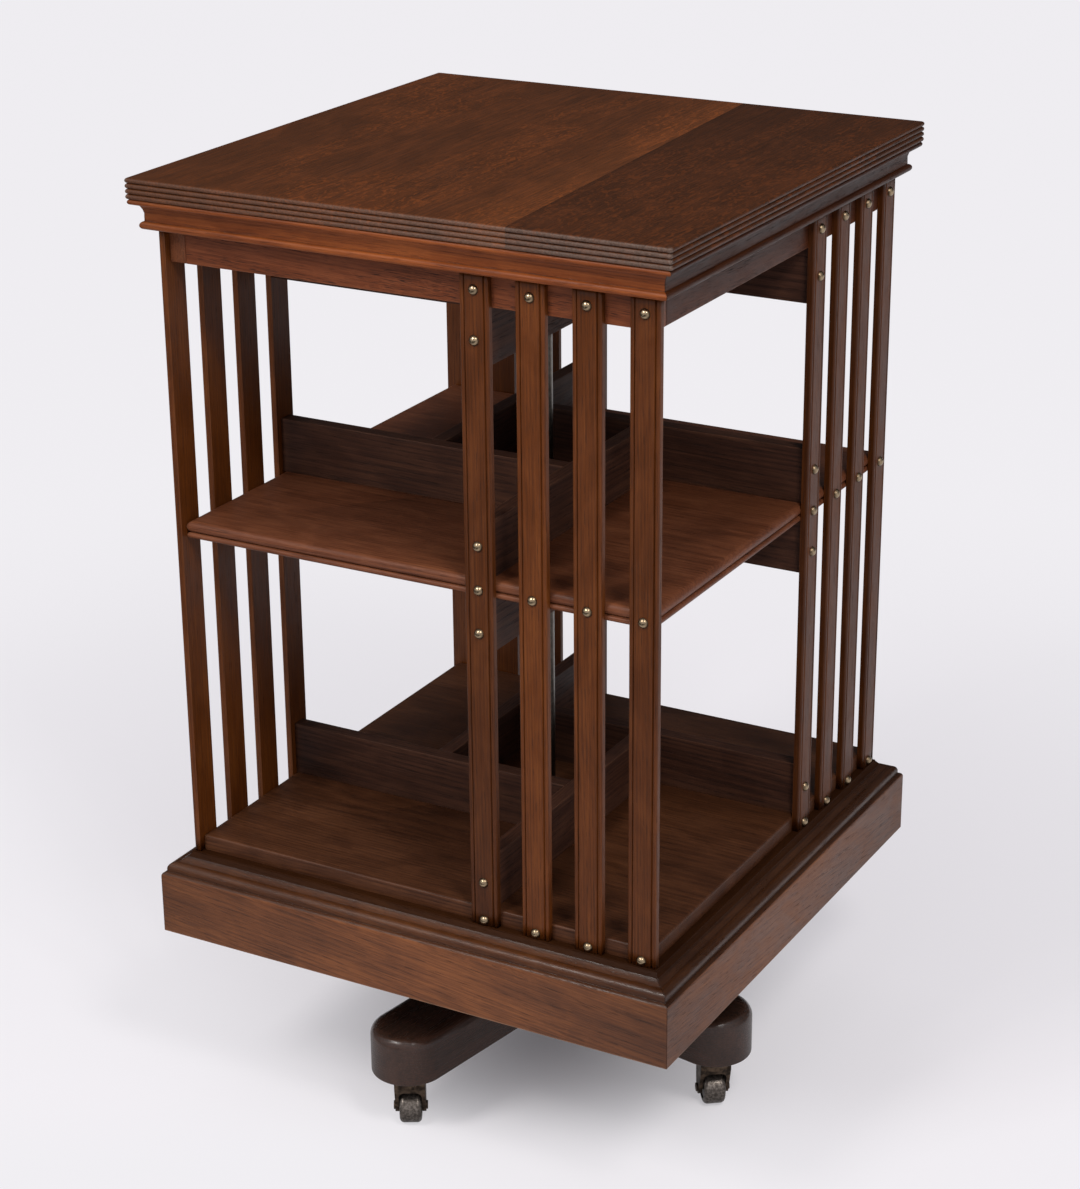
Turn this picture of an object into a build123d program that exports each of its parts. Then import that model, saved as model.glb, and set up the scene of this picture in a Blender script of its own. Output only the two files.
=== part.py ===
from build123d import *
from math import asin, cos, degrees, radians, sin
import os

# Revolving bookcase: a square oak case with open bays on all four sides, turning on an iron
# spindle that stands on a cross of two halved arms with four casters.
# Millimetres. The origin is on the floor under the spindle and +Z is up. The front face looks
# along -Y, and the other faces follow from it by quarter turns about Z.

# Heights of the stack, from the floor up
caster_height = 58.0
arm_thickness = 46.0
base_gap = 66.5
plinth_seat_height = 72.5
board_thickness = 18.0
lower_bay = 285.0
shelf_thickness = 15.0
upper_bay = 229.5
frieze_height = 55.0
top_thickness = 18.0

# Plan of the case
case_side = 464.0
top_overhang = 18.0
plinth_projection = 22.5
slat_width = 26.0
slat_thickness = 6.4
slats_per_face = 4
divider_offset = 69.0
divider_thickness = 14.0
divider_height = 50.0
frieze_thickness = 16.0

# Mouldings
reed_count = 4
edge_strip = 25.0
cornice_inset = 1.0
cornice_height = 26.0
cornice_bead = 2.3
cornice_quirk = 3.2
cove_depth = 9.7
cove_height = 7.7
cove_hollow = 1.2
lower_bead = 3.4
moulding_rise = 21.5
face_round = 4.0
face_fillet = 2.5
ovolo = 6.0
plinth_quirk = 1.5
slope_hollow = 0.9
foot_fillet = 1.0
foot_margin = 1.5
foot_lift = 4.0
board_ledge = 14.0
shelf_upper_bead = 5.0
shelf_lower_bead = 2.5
board_edge_round = 2.0
slat_bead = 2.0
slat_quirk = 1.0

# Studs
stud_dome_radius = 4.5
stud_dome_height = 3.4
stud_shank_radius = 1.5
stud_shank_length = 20.0
rail_stud_at_shelf = 30.5
rail_stud_at_end = 26.5

# Spindle and its bearings
spindle_radius = 10.0
spindle_tip_round = 2.0
thrust_gap = 0.3
pivot_board_thickness = 20.0
cup_plate_radius = 32.0
cup_plate_thickness = 5.0
cup_boss_radius = 18.0
cup_boss_height = 20.0
cup_screw_circle = 25.0
bush_plate_radius = 42.0
bush_plate_thickness = 5.0
bush_collar_radius = 20.0
bush_collar_height = 16.0
bush_screw_circle = 31.0
board_hole_radius = 12.0
shelf_hole_radius = 13.0
flange_radius = 62.0
flange_thickness = 8.0
flange_collar_radius = 23.0
flange_collar_top_radius = 17.0
flange_collar_height = 40.0
flange_screw_circle = 46.0

# Wood screws, all countersunk
bearing_screw_radius = 2.0
bearing_screw_length = 16.0
bearing_screw_head_radius = 4.0
flange_screw_radius = 3.0
flange_screw_length = 32.0
flange_screw_head_radius = 6.0
caster_screw_radius = 1.4
caster_screw_length = 14.0
caster_screw_head_radius = 2.6
screws_per_plate = 4
screws_per_caster = 3
screw_turn = 45.0

# Standing base
base_turn = -10.1
arm_half_width = 34.4
arm_reach = 196.8
arm_top_round = 10.0
arm_bottom_round = 1.5

# Casters
wheel_radius = 16.0
wheel_width = 20.0
wheel_edge_round = 4.0
wheel_recess = 1.2
wheel_recess_radius = 11.0
axle_radius = 2.5
axle_head_radius = 4.0
axle_head_length = 1.5
trail = 4.0
fork_side_gap = 0.6
fork_leg = 3.4
fork_foot_radius = 6.0
fork_shoulder = 4.0
fork_waist = 9.0
fork_crown_length = 23.5
arch_round = 6.0
arch_clearance = 4.0
plate_radius = 15.0
plate_thickness = 3.0
swivel_gap = 0.3
swivel_pin_radius = 3.0
rivet_radius = 5.0
rivet_height = 1.6
caster_screw_circle = 10.5
caster_headings = (119.2, 127.2, 62.0, 165.0)

# Clearances
joint_gap = 0.05
running_clearance = 0.05
hole_clearance = 0.1

# Levels worked out from the stack
arm_top = caster_height + arm_thickness
plinth_bottom = arm_top + base_gap
board_bottom = plinth_bottom + plinth_seat_height
board_top = board_bottom + board_thickness
shelf_bottom = board_top + lower_bay
shelf_top = shelf_bottom + shelf_thickness
frieze_bottom = shelf_top + upper_bay
frieze_top = frieze_bottom + frieze_height
cornice_bottom = frieze_top - cornice_height
slat_foot = board_bottom + foot_lift

# Distances from the case's axis
slat_face = case_side / 2
carcass_half = slat_face - slat_thickness
plinth_half = slat_face + plinth_projection
top_half = slat_face + top_overhang
cornice_half = top_half - cornice_inset
shaft_half = divider_offset - divider_thickness / 2
slat_pitch = (slat_face - slat_width / 2 - divider_offset) / (slats_per_face - 1)
stud_hole_radius = stud_shank_radius + hole_clearance

# Heights of the studs: every slat has the first three, a cross rail's slat has them all
carcass_studs = (
    (cornice_bottom + frieze_bottom) / 2,
    (shelf_top + shelf_bottom) / 2,
    (board_top + board_bottom) / 2,
)
rail_levels = {
    "top": (frieze_bottom - divider_height, frieze_bottom - rail_stud_at_end),
    "above_shelf": (shelf_top, shelf_top + rail_stud_at_shelf),
    "below_shelf": (shelf_bottom - divider_height, shelf_bottom - rail_stud_at_shelf),
    "bottom": (board_top, board_top + rail_stud_at_end),
}
rail_studs = tuple(stud for foot, stud in rail_levels.values())

SIDES = ("front", "right", "back", "left")
QUARTER_TURN = 90
os.makedirs("parts", exist_ok=True)


def across(side):
    """unit vector to the right of a face, seen from outside"""
    turn = radians(QUARTER_TURN * SIDES.index(side))
    return Vector(cos(turn), sin(turn), 0)


def outward(side):
    turn = radians(QUARTER_TURN * SIDES.index(side))
    return Vector(sin(turn), -cos(turn), 0)


def plan_plane(side, height):
    """level plane whose x runs across the face and whose y runs into the case"""
    return Plane(origin=(0, 0, height), x_dir=across(side), z_dir=(0, 0, 1))


def face_plane(side, distance):
    """upright plane parallel to the face, with x to the right and y up"""
    return Plane(origin=outward(side) * distance, x_dir=across(side), z_dir=outward(side))


def section_plane(side):
    """upright plane square to the face, with x outwards and y up"""
    return Plane(origin=(0, 0, 0), x_dir=outward(side), z_dir=across(side) * -1)


def mitre_plane(side, hand):
    return Plane(origin=(0, 0, 0), z_dir=outward(side) + across(side) * hand)


def slat_centre(number):
    return divider_offset + number * slat_pitch


def stud_heights(number):
    return carcass_studs + rail_studs if number == 0 else carcass_studs


def stud_places():
    """places of one face's studs, right of its middle and up from the floor"""
    return [(slat_centre(n), z) for n in range(slats_per_face) for z in stud_heights(n)]


def countersunk_screw(shank_radius, length, head_radius):
    """a wood screw with its head flush at z = 0 and its shank downwards"""
    head_depth = head_radius - shank_radius
    with BuildPart() as screw:
        with BuildSketch(Plane.XZ):
            with BuildLine():
                Polyline(
                    (0, 0), (head_radius, 0), (shank_radius, -head_depth),
                    (shank_radius, -length + shank_radius), (0, -length), close=True,
                )
            make_face()
        revolve(axis=Axis.Z)
    return screw.part


def screw_hole(shank_radius, head_radius, depth):
    """clearance cut for a screw through a plate, from z = 0 down"""
    hole_radius = shank_radius + hole_clearance
    mouth_radius = head_radius + hole_clearance
    with BuildPart() as cut:
        with BuildSketch(Plane.XZ):
            with BuildLine():
                Polyline(
                    (0, 0), (mouth_radius, 0), (hole_radius, hole_radius - mouth_radius),
                    (hole_radius, -depth), (0, -depth), close=True,
                )
            make_face()
        revolve(axis=Axis.Z)
    return cut.part


def mitred_length(profile, side):
    """one side of a moulding that runs round the case, cut well over length and then mitred"""
    reach = profile.bounding_box().max.X
    with BuildPart() as length:
        with BuildSketch(section_plane(side)):
            add(profile)
        extrude(amount=2 * reach, both=True)
        split(bisect_by=mitre_plane(side, 1), keep=Keep.TOP)
        split(bisect_by=mitre_plane(side, -1), keep=Keep.TOP)
    return length.part


# Top board, with reeds round its edge
reed = top_thickness / (2 * reed_count)
with BuildSketch() as reed_profile:
    with Locations((top_half - reed - edge_strip / 2, frieze_top + top_thickness / 2)):
        Rectangle(edge_strip, top_thickness)
    with Locations(*[(top_half - reed, frieze_top + reed * (2 * n + 1)) for n in range(reed_count)]):
        Circle(reed)
with BuildPart() as top_board:
    with BuildSketch(Plane.XY.offset(frieze_top)):
        Rectangle(2 * (top_half - edge_strip), 2 * (top_half - edge_strip))
    extrude(amount=top_thickness)
    for side in SIDES:
        add(mitred_length(reed_profile.sketch, side))
top_board.part.label = "top_board"
export_step(top_board.part, "parts/top_board.step")

# Cornice under the top's edge: a bead, a cove and a smaller bead
cove_wall = cornice_half - cove_depth
cove_top = frieze_top - 2 * cornice_bead
with BuildSketch() as cornice_profile:
    with BuildLine():
        Polyline(
            (cove_wall, cornice_bottom), (carcass_half, cornice_bottom),
            (carcass_half, frieze_top), (cornice_half - cornice_bead, frieze_top),
        )
        ThreePointArc(
            (cornice_half - cornice_bead, frieze_top),
            (cornice_half, frieze_top - cornice_bead),
            (cornice_half - cornice_bead, cove_top),
        )
        Line(
            (cornice_half - cornice_bead, cove_top),
            (cornice_half - cornice_bead - cornice_quirk, cove_top),
        )
        SagittaArc(
            (cornice_half - cornice_bead - cornice_quirk, cove_top),
            (cove_wall, cove_top - cove_height), cove_hollow,
        )
        Line((cove_wall, cove_top - cove_height), (cove_wall, cornice_bottom + 2 * lower_bead))
        ThreePointArc(
            (cove_wall, cornice_bottom + 2 * lower_bead),
            (cove_wall + lower_bead, cornice_bottom + lower_bead),
            (cove_wall, cornice_bottom),
        )
    make_face()
for side in SIDES:
    with BuildPart() as cornice:
        add(mitred_length(cornice_profile.sketch, side))
    cornice.part.label = f"cornice_{side}"
    export_step(cornice.part, f"parts/cornice_{side}.step")

# Frieze rails, each butted on the next
for side in SIDES:
    with BuildPart() as frieze:
        with BuildSketch(plan_plane(side, frieze_bottom)):
            with Locations(((frieze_thickness + joint_gap) / 2, frieze_thickness / 2 - carcass_half)):
                Rectangle(2 * carcass_half - frieze_thickness - joint_gap, frieze_thickness)
        extrude(amount=frieze_height)
        with BuildSketch(face_plane(side, carcass_half)):
            with Locations(*[(slat_centre(n), carcass_studs[0]) for n in range(slats_per_face)]):
                Circle(stud_hole_radius)
        extrude(amount=slat_thickness - stud_shank_length - hole_clearance, mode=Mode.SUBTRACT)
    frieze.part.label = f"frieze_{side}"
    export_step(frieze.part, f"parts/frieze_{side}.step")

# Slats, with a quirked bead along both edges of the outer face
bead_foot = slat_width / 2 - 2 * slat_bead
with BuildSketch() as slat_section:
    with BuildLine():
        ThreePointArc(
            (slat_width / 2, slat_bead), (slat_width / 2 - slat_bead, 0), (bead_foot, slat_bead),
        )
        Polyline(
            (bead_foot, slat_bead), (bead_foot - slat_quirk, 0),
            (slat_quirk - bead_foot, 0), (-bead_foot, slat_bead),
        )
        ThreePointArc(
            (-bead_foot, slat_bead), (slat_bead - slat_width / 2, 0), (-slat_width / 2, slat_bead),
        )
        Polyline(
            (-slat_width / 2, slat_bead), (-slat_width / 2, slat_thickness),
            (slat_width / 2, slat_thickness), (slat_width / 2, slat_bead),
        )
    make_face()
for side in SIDES:
    for number in range(slats_per_face):
        with BuildPart() as slat:
            with BuildSketch(plan_plane(side, slat_foot)):
                with Locations((slat_centre(number), -slat_face)):
                    add(slat_section.sketch)
            extrude(amount=cornice_bottom - slat_foot)
            with BuildSketch(face_plane(side, slat_face)):
                with Locations(*[(slat_centre(number), z) for z in stud_heights(number)]):
                    Circle(stud_hole_radius)
            extrude(amount=-slat_thickness, mode=Mode.SUBTRACT)
        slat.part.label = f"slat_{side}_{number + 1}"
        export_step(slat.part, f"parts/slat_{side}_{number + 1}.step")

# Middle shelf, with a moulded edge and a hole for the spindle
with BuildSketch() as shelf_edge:
    with Locations((carcass_half - edge_strip / 2 - shelf_upper_bead, (shelf_top + shelf_bottom) / 2)):
        Rectangle(edge_strip, shelf_thickness)
    with Locations((carcass_half - shelf_upper_bead, shelf_top - shelf_upper_bead)):
        Circle(shelf_upper_bead)
    with Locations(
        (carcass_half - shelf_upper_bead / 2 - shelf_lower_bead, shelf_bottom + shelf_lower_bead)
    ):
        Rectangle(shelf_upper_bead, 2 * shelf_lower_bead)
    with Locations((carcass_half - shelf_lower_bead, shelf_bottom + shelf_lower_bead)):
        Circle(shelf_lower_bead)
with BuildPart() as shelf:
    with BuildSketch(Plane.XY.offset(shelf_bottom)):
        Rectangle(2 * (carcass_half - edge_strip), 2 * (carcass_half - edge_strip))
    extrude(amount=shelf_thickness)
    for side in SIDES:
        add(mitred_length(shelf_edge.sketch, side))
    with BuildSketch(Plane.XY.offset(shelf_bottom)):
        Circle(shelf_hole_radius)
    extrude(amount=shelf_thickness, mode=Mode.SUBTRACT)
    for side in SIDES:
        with BuildSketch(face_plane(side, carcass_half)):
            with Locations(*[(slat_centre(n), carcass_studs[1]) for n in range(slats_per_face)]):
                Circle(stud_hole_radius)
        extrude(amount=slat_thickness - stud_shank_length - hole_clearance, mode=Mode.SUBTRACT)
shelf.part.label = "shelf"
export_step(shelf.part, "parts/shelf.step")

# Bottom board
with BuildPart() as bottom_board:
    with BuildSketch(Plane.XY.offset(board_bottom)):
        Rectangle(2 * carcass_half, 2 * carcass_half)
    extrude(amount=board_thickness)
    fillet(bottom_board.faces().sort_by(Axis.Z)[-1].edges(), radius=board_edge_round)
    with BuildSketch(Plane.XY.offset(board_bottom)):
        Circle(board_hole_radius)
    extrude(amount=board_thickness, mode=Mode.SUBTRACT)
    for side in SIDES:
        with BuildSketch(face_plane(side, carcass_half)):
            with Locations(*[(slat_centre(n), carcass_studs[2]) for n in range(slats_per_face)]):
                Circle(stud_hole_radius)
        extrude(amount=slat_thickness - stud_shank_length - hole_clearance, mode=Mode.SUBTRACT)
    with BuildSketch(Plane.XY.offset(board_bottom)):
        with PolarLocations(bush_screw_circle, screws_per_plate, start_angle=screw_turn):
            Circle(bearing_screw_radius + hole_clearance)
    extrude(amount=bearing_screw_length - bush_plate_thickness + hole_clearance, mode=Mode.SUBTRACT)
bottom_board.part.label = "bottom_board"
export_step(bottom_board.part, "parts/bottom_board.step")

# Plinth rails, moulded along the upper edge, with a ledge for the bottom board
face_top = slat_foot - moulding_rise
ovolo_foot = face_top + face_round + face_fillet
slope_top = slat_face + foot_margin
with BuildSketch() as plinth_profile:
    with BuildLine():
        Polyline(
            (slope_top, slat_foot - foot_fillet), (slope_top, slat_foot), (carcass_half, slat_foot),
            (carcass_half, board_bottom), (carcass_half - board_ledge, board_bottom),
            (carcass_half - board_ledge, plinth_bottom),
            (plinth_half, plinth_bottom), (plinth_half, face_top),
        )
        RadiusArc((plinth_half, face_top), (plinth_half - face_round, face_top + face_round), -face_round)
        Line((plinth_half - face_round, face_top + face_round), (plinth_half - face_round, ovolo_foot))
        RadiusArc(
            (plinth_half - face_round, ovolo_foot),
            (plinth_half - face_round - ovolo, ovolo_foot + ovolo), -ovolo,
        )
        Line(
            (plinth_half - face_round - ovolo, ovolo_foot + ovolo),
            (plinth_half - face_round - ovolo - plinth_quirk, ovolo_foot + ovolo),
        )
        SagittaArc(
            (plinth_half - face_round - ovolo - plinth_quirk, ovolo_foot + ovolo),
            (slope_top, slat_foot - foot_fillet), slope_hollow,
        )
    make_face()
for side in SIDES:
    with BuildPart() as plinth:
        add(mitred_length(plinth_profile.sketch, side))
    plinth.part.label = f"plinth_{side}"
    export_step(plinth.part, f"parts/plinth_{side}.step")

# Cross rails: at each level four rails butt on each other like a pinwheel round the shaft
for level, (foot, stud) in rail_levels.items():
    with BuildPart() as cross_rails:
        for side in SIDES:
            with BuildSketch(plan_plane(side, foot)):
                with Locations((divider_offset, (shaft_half - joint_gap - carcass_half) / 2)):
                    Rectangle(divider_thickness, carcass_half + shaft_half - joint_gap)
            extrude(amount=divider_height)
            with BuildSketch(face_plane(side, carcass_half)):
                with Locations((slat_centre(0), stud)):
                    Circle(stud_hole_radius)
            extrude(amount=slat_thickness - stud_shank_length - hole_clearance, mode=Mode.SUBTRACT)
    cross_rails.part.label = f"cross_rails_{level}"
    export_step(cross_rails.part, f"parts/cross_rails_{level}.step")

# Domed studs that pin the slats
dome_sphere = (stud_dome_radius**2 + stud_dome_height**2) / (2 * stud_dome_height)
dome_start = degrees(asin((dome_sphere - stud_dome_height) / dome_sphere))
with BuildPart() as stud:
    with BuildSketch(Plane.XZ):
        with BuildLine():
            CenterArc(
                (0, stud_dome_height - dome_sphere), dome_sphere,
                dome_start, QUARTER_TURN - dome_start,
            )
            Polyline(
                (0, stud_dome_height), (0, -stud_shank_length),
                (stud_shank_radius, stud_shank_radius - stud_shank_length),
                (stud_shank_radius, 0), (stud_dome_radius, 0),
            )
        make_face()
    revolve(axis=Axis.Z)
with BuildPart() as slat_studs:
    for side in SIDES:
        with Locations(face_plane(side, slat_face)):
            with Locations(*stud_places()):
                add(stud.part)
slat_studs.part.label = "slat_studs"
export_step(slat_studs.part, "parts/slat_studs.step")

# Board between the top cross rails, which carries the upper bearing
pivot_board_bottom = frieze_bottom - pivot_board_thickness
with BuildPart() as pivot_board:
    with BuildSketch(Plane.XY.offset(pivot_board_bottom)):
        Rectangle(2 * (shaft_half - joint_gap), 2 * (shaft_half - joint_gap))
    extrude(amount=pivot_board_thickness)
    with BuildSketch(Plane.XY.offset(pivot_board_bottom)):
        with PolarLocations(cup_screw_circle, screws_per_plate, start_angle=screw_turn):
            Circle(bearing_screw_radius + hole_clearance)
    extrude(amount=bearing_screw_length - cup_plate_thickness + hole_clearance, mode=Mode.SUBTRACT)
pivot_board.part.label = "pivot_board"
export_step(pivot_board.part, "parts/pivot_board.step")

# Iron cup under the pivot board, which turns on the spindle's tip and carries the case
cup_foot = pivot_board_bottom - cup_plate_thickness - cup_boss_height
cup_screw_plane = Plane(
    origin=(0, 0, pivot_board_bottom - cup_plate_thickness), x_dir=(1, 0, 0), z_dir=(0, 0, -1)
)
with BuildPart() as upper_bearing:
    with BuildSketch(Plane.XY.offset(pivot_board_bottom)):
        Circle(cup_plate_radius)
    extrude(amount=-cup_plate_thickness)
    with BuildSketch(cup_screw_plane):
        Circle(cup_boss_radius)
    extrude(amount=cup_boss_height)
    with BuildSketch(Plane.XY.offset(cup_foot)):
        Circle(spindle_radius + running_clearance)
    extrude(amount=cup_boss_height, mode=Mode.SUBTRACT)
    with Locations(cup_screw_plane):
        with PolarLocations(cup_screw_circle, screws_per_plate, start_angle=screw_turn):
            add(
                screw_hole(bearing_screw_radius, bearing_screw_head_radius, cup_plate_thickness),
                mode=Mode.SUBTRACT,
            )
upper_bearing.part.label = "upper_bearing"
export_step(upper_bearing.part, "parts/upper_bearing.step")

# Iron bush under the bottom board, which steadies the case on the spindle
bush_foot = board_bottom - bush_plate_thickness - bush_collar_height
bush_screw_plane = Plane(
    origin=(0, 0, board_bottom - bush_plate_thickness), x_dir=(1, 0, 0), z_dir=(0, 0, -1)
)
with BuildPart() as lower_bush:
    with BuildSketch(Plane.XY.offset(board_bottom)):
        Circle(bush_plate_radius)
    extrude(amount=-bush_plate_thickness)
    with BuildSketch(bush_screw_plane):
        Circle(bush_collar_radius)
    extrude(amount=bush_collar_height)
    with BuildSketch(Plane.XY.offset(bush_foot)):
        Circle(spindle_radius + running_clearance)
    extrude(amount=bush_collar_height + bush_plate_thickness, mode=Mode.SUBTRACT)
    with Locations(bush_screw_plane):
        with PolarLocations(bush_screw_circle, screws_per_plate, start_angle=screw_turn):
            add(
                screw_hole(bearing_screw_radius, bearing_screw_head_radius, bush_plate_thickness),
                mode=Mode.SUBTRACT,
            )
lower_bush.part.label = "lower_bush"
export_step(lower_bush.part, "parts/lower_bush.step")

with BuildPart() as bearing_screws:
    for screw_plane, circle in (
        (cup_screw_plane, cup_screw_circle),
        (bush_screw_plane, bush_screw_circle),
    ):
        with Locations(screw_plane):
            with PolarLocations(circle, screws_per_plate, start_angle=screw_turn):
                add(countersunk_screw(
                    bearing_screw_radius, bearing_screw_length, bearing_screw_head_radius
                ))
bearing_screws.part.label = "bearing_screws"
export_step(bearing_screws.part, "parts/bearing_screws.step")

# Spindle, standing on the cross and reaching up into the upper bearing
spindle_top = pivot_board_bottom - cup_plate_thickness - thrust_gap
with BuildPart() as spindle:
    with BuildSketch(Plane.XY.offset(arm_top)):
        Circle(spindle_radius)
    extrude(amount=spindle_top - arm_top)
    fillet(spindle.faces().sort_by(Axis.Z)[-1].edges(), radius=spindle_tip_round)
spindle.part.label = "spindle"
export_step(spindle.part, "parts/spindle.step")

# Cast-iron socket of the spindle, screwed to the cross
with BuildPart() as spindle_flange:
    with BuildSketch(Plane.XZ):
        with BuildLine():
            Polyline(
                (spindle_radius + joint_gap, arm_top),
                (flange_radius, arm_top),
                (flange_radius, arm_top + flange_thickness),
                (flange_collar_radius, arm_top + flange_thickness),
                (flange_collar_top_radius, arm_top + flange_thickness + flange_collar_height),
                (spindle_radius + joint_gap, arm_top + flange_thickness + flange_collar_height),
                close=True,
            )
        make_face()
    revolve(axis=Axis.Z)
    with Locations(Plane.XY.offset(arm_top + flange_thickness)):
        with PolarLocations(flange_screw_circle, screws_per_plate, start_angle=base_turn):
            add(
                screw_hole(flange_screw_radius, flange_screw_head_radius, flange_thickness),
                mode=Mode.SUBTRACT,
            )
spindle_flange.part.label = "spindle_flange"
export_step(spindle_flange.part, "parts/spindle_flange.step")
with BuildPart() as flange_screws:
    with Locations(Plane.XY.offset(arm_top + flange_thickness)):
        with PolarLocations(flange_screw_circle, screws_per_plate, start_angle=base_turn):
            add(countersunk_screw(
                flange_screw_radius, flange_screw_length, flange_screw_head_radius
            ))
flange_screws.part.label = "flange_screws"
export_step(flange_screws.part, "parts/flange_screws.step")

# The two arms, halved across each other
for name, turn, notch_foot in (
    ("arm_lower", base_turn, caster_height + arm_thickness / 2),
    ("arm_upper", base_turn + QUARTER_TURN, caster_height),
):
    arm_plane = Plane.XY.rotated((0, 0, turn))
    with BuildPart() as arm:
        with BuildSketch(arm_plane.offset(caster_height)):
            SlotCenterToCenter(2 * arm_reach, 2 * arm_half_width)
        extrude(amount=arm_thickness)
        fillet(arm.faces().sort_by(Axis.Z)[-1].edges(), radius=arm_top_round)
        fillet(arm.faces().sort_by(Axis.Z)[0].edges(), radius=arm_bottom_round)
        with BuildSketch(arm_plane.offset(notch_foot)):
            Rectangle(2 * (arm_half_width + joint_gap), 2 * (arm_half_width + joint_gap))
        extrude(amount=arm_thickness / 2 + joint_gap, mode=Mode.SUBTRACT)
        with BuildSketch(arm_plane.offset(arm_top)):
            with PolarLocations(flange_screw_circle, 2):
                Circle(flange_screw_radius + hole_clearance)
        extrude(amount=flange_thickness - flange_screw_length - hole_clearance, mode=Mode.SUBTRACT)
        with BuildSketch(arm_plane.offset(caster_height)):
            with PolarLocations(arm_reach, 2):
                with PolarLocations(caster_screw_circle, screws_per_caster):
                    Circle(caster_screw_radius + hole_clearance)
        extrude(amount=caster_screw_length - plate_thickness + hole_clearance, mode=Mode.SUBTRACT)
    arm.part.label = name
    export_step(arm.part, f"parts/{name}.step")

# Casters, one under the round end of each arm, numbered from the front one towards the right
arm_ends = [base_turn + QUARTER_TURN * n for n in (-1, 0, 1, 2)]
plate_foot = caster_height - plate_thickness
crown_top = plate_foot - swivel_gap
arch_top = wheel_radius * 2 + arch_clearance
fork_inner = wheel_width / 2 + fork_side_gap
fork_outer = fork_inner + fork_leg


def end_place(turn):
    return Location((arm_reach * cos(radians(turn)), arm_reach * sin(radians(turn)), 0), (0, 0, turn))


with BuildPart() as caster_plate:
    with BuildSketch(Plane.XY.offset(caster_height)):
        Circle(plate_radius)
    extrude(amount=-plate_thickness)
    with BuildSketch(Plane.XY.offset(plate_foot)):
        Circle(swivel_pin_radius)
    extrude(amount=arch_top - swivel_gap - plate_foot)
    with BuildSketch(Plane.XY.offset(arch_top - swivel_gap)):
        Circle(rivet_radius)
    extrude(amount=-rivet_height)
    with Locations(Plane(origin=(0, 0, plate_foot), x_dir=(1, 0, 0), z_dir=(0, 0, -1))):
        with PolarLocations(caster_screw_circle, screws_per_caster):
            add(
                screw_hole(caster_screw_radius, caster_screw_head_radius, plate_thickness),
                mode=Mode.SUBTRACT,
            )
with BuildPart() as caster_plates:
    with Locations(*[end_place(turn) for turn in arm_ends]):
        add(caster_plate.part)
caster_plates.part.label = "caster_plates"
export_step(caster_plates.part, "parts/caster_plates.step")

with BuildPart() as caster_screws:
    with Locations(*[end_place(turn) for turn in arm_ends]):
        with Locations(Plane(origin=(0, 0, plate_foot), x_dir=(1, 0, 0), z_dir=(0, 0, -1))):
            with PolarLocations(caster_screw_circle, screws_per_caster):
                add(countersunk_screw(
                    caster_screw_radius, caster_screw_length, caster_screw_head_radius
                ))
caster_screws.part.label = "caster_screws"
export_step(caster_screws.part, "parts/caster_screws.step")

for number, (turn, heading) in enumerate(zip(arm_ends, caster_headings), start=1):
    swivel = end_place(turn).position
    trailing = Vector(cos(radians(heading)), sin(radians(heading)), 0)
    sideways = Vector(-trailing.Y, trailing.X, 0)
    side_plane = Plane(origin=swivel, x_dir=trailing, z_dir=sideways * -1)
    front_plane = Plane(origin=swivel, x_dir=sideways, z_dir=trailing)
    with BuildPart() as fork:
        with BuildSketch(side_plane):
            with Locations((trail, wheel_radius)):
                Circle(fork_foot_radius)
            with Locations((0, crown_top - fork_shoulder - fork_waist / 2)):
                Rectangle(fork_crown_length, fork_waist)
            make_hull()
        extrude(amount=fork_outer, both=True)
        with BuildSketch(Plane(origin=swivel + Vector(0, 0, crown_top), z_dir=(0, 0, 1))):
            Circle(fork_outer)
        extrude(amount=-fork_shoulder - fork_waist)
        with BuildSketch(front_plane):
            with Locations((0, arch_top / 2 - arch_round)):
                Rectangle(2 * fork_inner, arch_top)
            with Locations((0, arch_top - arch_round)):
                Rectangle(2 * (fork_inner - arch_round), 2 * arch_round)
            with Locations(
                (fork_inner - arch_round, arch_top - arch_round),
                (arch_round - fork_inner, arch_top - arch_round),
            ):
                Circle(arch_round)
        extrude(amount=2 * fork_outer, both=True, mode=Mode.SUBTRACT)
        with BuildSketch(Plane(origin=swivel, z_dir=(0, 0, 1))):
            Circle(swivel_pin_radius + running_clearance)
        extrude(amount=caster_height, mode=Mode.SUBTRACT)
        with BuildSketch(side_plane):
            with Locations((trail, wheel_radius)):
                Circle(axle_radius + joint_gap)
        extrude(amount=fork_outer, both=True, mode=Mode.SUBTRACT)
    fork.part.label = f"caster_fork_{number}"
    export_step(fork.part, f"parts/caster_fork_{number}.step")

    with BuildPart() as wheel:
        with BuildSketch(side_plane):
            with Locations((trail, wheel_radius)):
                Circle(wheel_radius)
        extrude(amount=wheel_width / 2, both=True)
        fillet(wheel.edges().filter_by(GeomType.CIRCLE), radius=wheel_edge_round)
        for hand in (-1, 1):
            with BuildSketch(side_plane.offset(hand * wheel_width / 2)):
                with Locations((trail, wheel_radius)):
                    Circle(wheel_recess_radius)
            extrude(amount=-hand * wheel_recess, mode=Mode.SUBTRACT)
        with BuildSketch(side_plane):
            with Locations((trail, wheel_radius)):
                Circle(axle_radius + running_clearance)
        extrude(amount=wheel_width, both=True, mode=Mode.SUBTRACT)
    wheel.part.label = f"caster_wheel_{number}"
    export_step(wheel.part, f"parts/caster_wheel_{number}.step")

    with BuildPart() as axle:
        with BuildSketch(side_plane):
            with Locations((trail, wheel_radius)):
                Circle(axle_radius)
        extrude(amount=fork_outer, both=True)
        for hand in (-1, 1):
            with BuildSketch(side_plane.offset(hand * fork_outer)):
                with Locations((trail, wheel_radius)):
                    Circle(axle_head_radius)
            extrude(amount=hand * axle_head_length)
    axle.part.label = f"caster_axle_{number}"
    export_step(axle.part, f"parts/caster_axle_{number}.step")
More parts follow.
